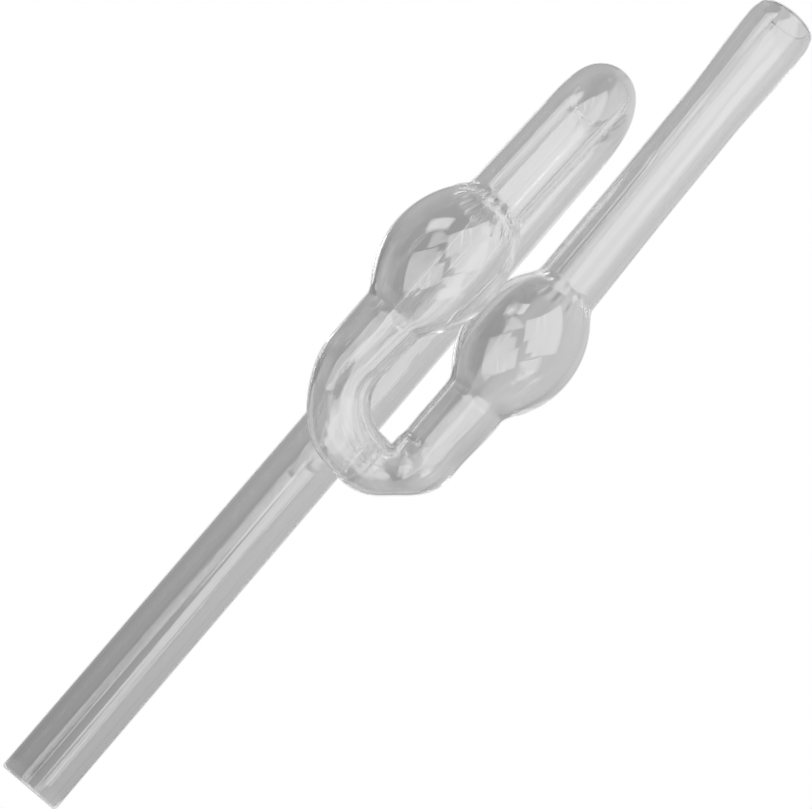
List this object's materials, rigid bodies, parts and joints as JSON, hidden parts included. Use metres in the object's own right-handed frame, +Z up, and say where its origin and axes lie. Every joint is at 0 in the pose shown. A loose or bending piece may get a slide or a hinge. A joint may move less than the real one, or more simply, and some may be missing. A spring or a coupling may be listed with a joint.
{
  "type": "s bend airlock",
  "caption": "Clear glass S-bend fermentation airlock: an upright stem, a crown bend, water bulbs joined by a trap bend, and a tall outlet tube with a flared mouth.",
  "frame": {"origin": "centre of the stem's lower end", "axes": "+Z up the stem's axis; +X from the inlet leg towards the outlet leg; -Y towards the bulbs and the trap, which stand in an upright plane in front of the stem"},
  "size_m": [0.0367, 0.0263, 0.1609],
  "materials": {
    "clear_glass": "clear, fire-polished"
  },
  "bodies": {
    "root": {"stem": "clear_glass", "crown_bend": "clear_glass", "inlet_leg": "clear_glass", "first_bulb": "clear_glass", "trap_bend": "clear_glass", "second_bulb": "clear_glass", "outlet_tube": "clear_glass", "outlet_mouth": "clear_glass"}
  },
  "joints": []
}
